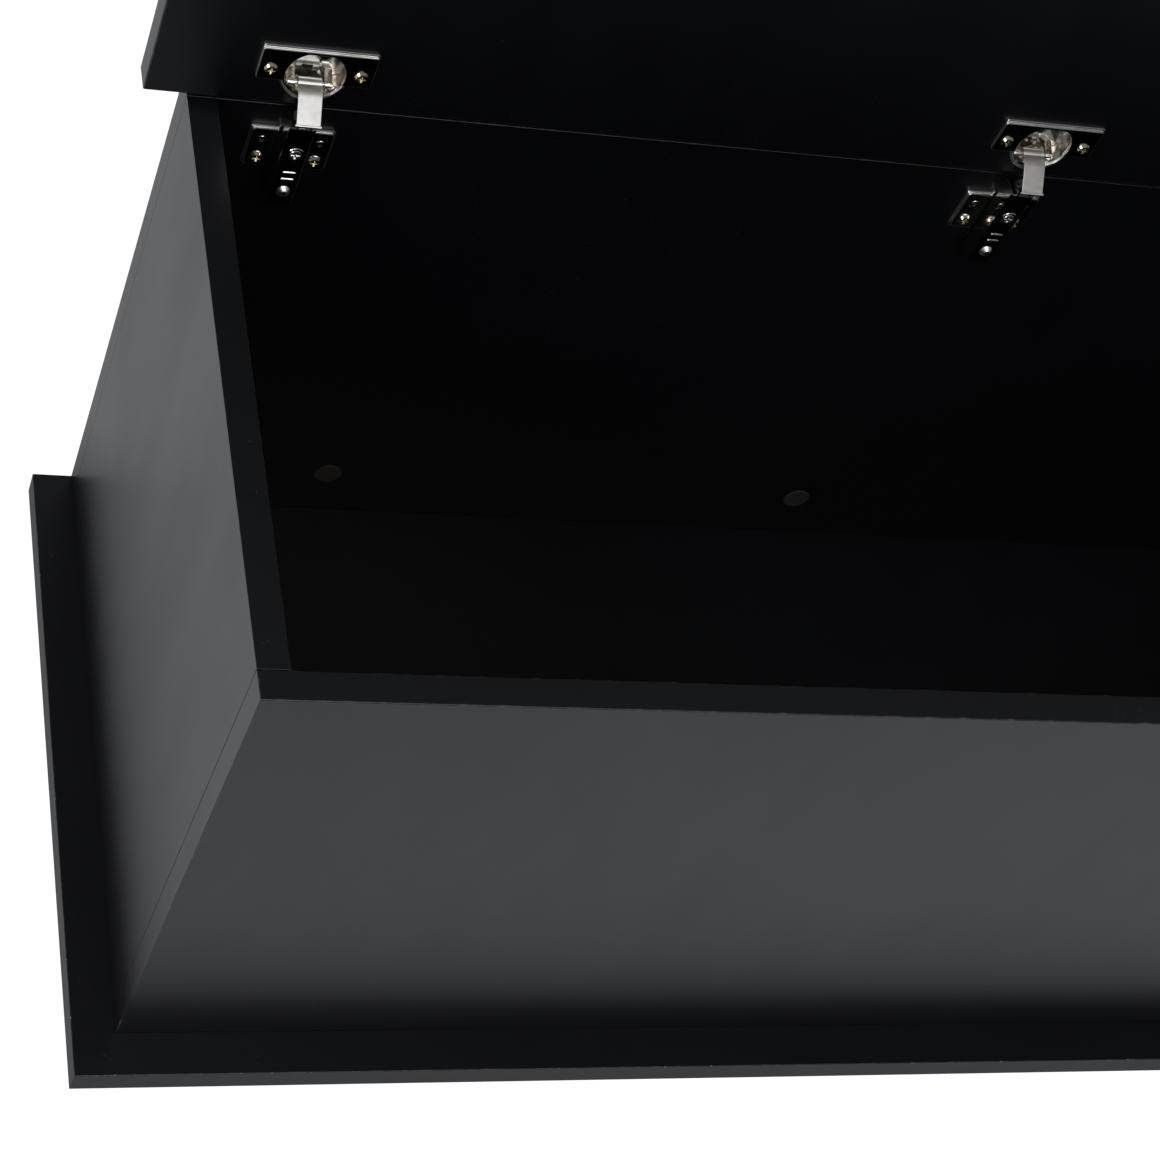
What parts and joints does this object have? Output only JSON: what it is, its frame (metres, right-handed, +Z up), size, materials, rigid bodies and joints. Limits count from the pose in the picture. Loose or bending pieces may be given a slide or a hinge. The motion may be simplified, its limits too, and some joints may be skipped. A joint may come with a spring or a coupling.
{
  "type": "lift top coffee table",
  "caption": "Low storage coffee table: a plain dark box on a wider base plate, closed by a flat overhanging lid that swings up on concealed cup hinges along the back.",
  "frame": {"origin": "centre of the base plate's outline, at the bottom of the glides", "axes": "+X along the table's width, to the right seen from the front; +Y from the front to the back, where the hinges are; +Z up; stored with the lid upright"},
  "size_m": [1.016, 0.405, 0.787],
  "materials": {
    "black_board": "satin black foil",
    "nickel_steel": "bright nickel plate",
    "fitting_steel": "zinc plated, satin",
    "zinc_screw": "yellow zinc plate",
    "dowel_wood": "raw beech",
    "cap_plastic": "matt greyish brown",
    "glide_plastic": "matt",
    "bumper_rubber": "matt, translucent white"
  },
  "bodies": {
    "carcass": {"base_plate": "black_board", "front_panel": "black_board", "back_panel": "black_board", "side_panel_left": "black_board", "side_panel_right": "black_board", "glides": "glide_plastic", "cam_locks": "fitting_steel", "cam_caps": "cap_plastic", "cam_bolts": "fitting_steel", "dowels": "dowel_wood", "mounting_plate_left": "nickel_steel", "mounting_plate_middle": "nickel_steel", "mounting_plate_right": "nickel_steel", "plate_screws": "zinc_screw", "hinge_arm_left": "nickel_steel", "hinge_arm_middle": "nickel_steel", "hinge_arm_right": "nickel_steel", "arm_fixing_screws": "nickel_steel", "arm_adjusting_screws": "nickel_steel", "arm_pins": "nickel_steel", "leaf_springs": "nickel_steel"},
    "outer_links": {"outer_link_left": "nickel_steel", "outer_link_middle": "nickel_steel", "outer_link_right": "nickel_steel"},
    "inner_links": {"inner_link_left": "nickel_steel", "inner_link_middle": "nickel_steel", "inner_link_right": "nickel_steel"},
    "lid": {"lid_panel": "black_board", "hinge_cup_left": "nickel_steel", "hinge_cup_middle": "nickel_steel", "hinge_cup_right": "nickel_steel", "cup_pins": "nickel_steel", "cup_screws": "zinc_screw", "lid_bumpers": "bumper_rubber"}
  },
  "joints": [
    {"name": "outer_link_turn", "type": "hinge", "parent": "carcass", "child": "outer_links", "pos_m": [0, 0.173, 0.3835], "axis": [1, 0, 0], "range_deg": [-43.62, 2.44]},
    {"name": "lid_swing", "type": "hinge", "parent": "outer_links", "child": "lid", "pos_m": [0, 0.186, 0.3945], "axis": [1, 0, 0], "range_deg": [-7.42, 133.6]},
    {"name": "inner_link_turn", "type": "hinge", "parent": "carcass", "child": "inner_links", "pos_m": [0, 0.1761, 0.38], "axis": [1, 0, 0], "range_deg": [-57.42, 3.21]}
  ],
  "couplings": [
    {"joint": "outer_link_turn", "follows": "lid_swing", "ratio": -0.32636},
    {"joint": "inner_link_turn", "follows": "lid_swing", "ratio": -0.42963}
  ]
}
